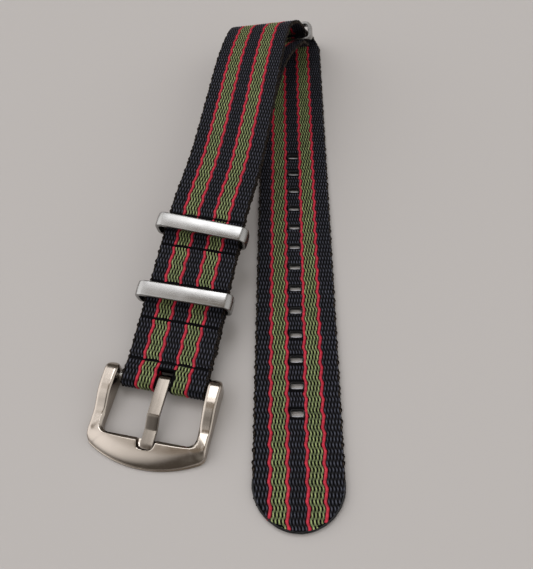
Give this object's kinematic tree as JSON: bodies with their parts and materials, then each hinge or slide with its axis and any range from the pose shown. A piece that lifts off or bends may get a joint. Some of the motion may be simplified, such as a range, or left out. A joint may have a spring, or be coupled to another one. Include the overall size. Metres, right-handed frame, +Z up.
{
  "type": "woven watch strap",
  "caption": "Woven pass-through watch strap with a tang buckle and steel keepers, folded in half with its punched tail laid flat.",
  "frame": {"origin": "on the underside of the flat tail, on its centre line, where it rests on the table", "axes": "+X along the buckle bar to the right seen from the buckle, +Y from the buckle to the fold, +Z up"},
  "size_m": [0.0566, 0.157, 0.0187],
  "materials": {
    "webbing": "woven, black with olive green and red stripes",
    "buckle_steel": "brushed and softly rounded",
    "keeper_steel": "brushed band",
    "bar_steel": "plain drawn"
  },
  "bodies": {
    "tail": {"strap_tail": "webbing", "strap_fold": "webbing"},
    "run": {"strap_run": "webbing", "under_strap": "webbing"},
    "front_keeper": {"keeper_front": "keeper_steel"},
    "rear_keeper": {"keeper_rear": "keeper_steel"},
    "end_keeper": {"keeper_end": "keeper_steel"},
    "buckle": {"buckle_frame": "buckle_steel", "spring_bar_tube": "bar_steel", "spring_bar_spring": "bar_steel"},
    "left_pin": {"spring_bar_pin_left": "bar_steel"},
    "right_pin": {"spring_bar_pin_right": "bar_steel"},
    "tang": {"buckle_tang": "buckle_steel"}
  },
  "joints": [
    {"name": "strap_unfold", "type": "hinge", "parent": "tail", "child": "run", "pos_m": [-0.01389, 0.07717, 0.00088], "axis": [-0.9842, -0.1771, 0], "range_deg": [0, 90], "deforming": ["strap_fold"]},
    {"name": "buckle_swing", "type": "hinge", "parent": "run", "child": "buckle", "pos_m": [-0.02054, -0.05343, 0.0026], "axis": [1, 0, 0], "range_deg": [-30, 60]},
    {"name": "tang_swing", "type": "hinge", "parent": "buckle", "child": "tang", "pos_m": [-0.02054, -0.05343, 0.0026], "axis": [-1, 0, 0], "range_deg": [0, 65]},
    {"name": "front_keeper_slide", "type": "slide", "parent": "run", "child": "front_keeper", "axis": [0, 0.9848, 0.1736], "range_m": [-0.002, 0]},
    {"name": "rear_keeper_slide", "type": "slide", "parent": "run", "child": "rear_keeper", "axis": [0, 0.9848, 0.1736], "range_m": [-0.0006, 0.0006]},
    {"name": "end_keeper_shift", "type": "slide", "parent": "run", "child": "end_keeper", "axis": [0.9738, 0.0608, 0.219], "range_m": [-0.0005, 0]},
    {"name": "left_pin_press", "type": "slide", "parent": "buckle", "child": "left_pin", "axis": [1, 0, 0], "range_m": [0, 0.0012], "stiffness_N_per_m": 300, "springref_m": -0.001, "deforming": ["spring_bar_spring"]},
    {"name": "right_pin_press", "type": "slide", "parent": "buckle", "child": "right_pin", "axis": [-1, 0, 0], "range_m": [0, 0.0012], "stiffness_N_per_m": 300, "springref_m": -0.001, "deforming": ["spring_bar_spring"]}
  ]
}
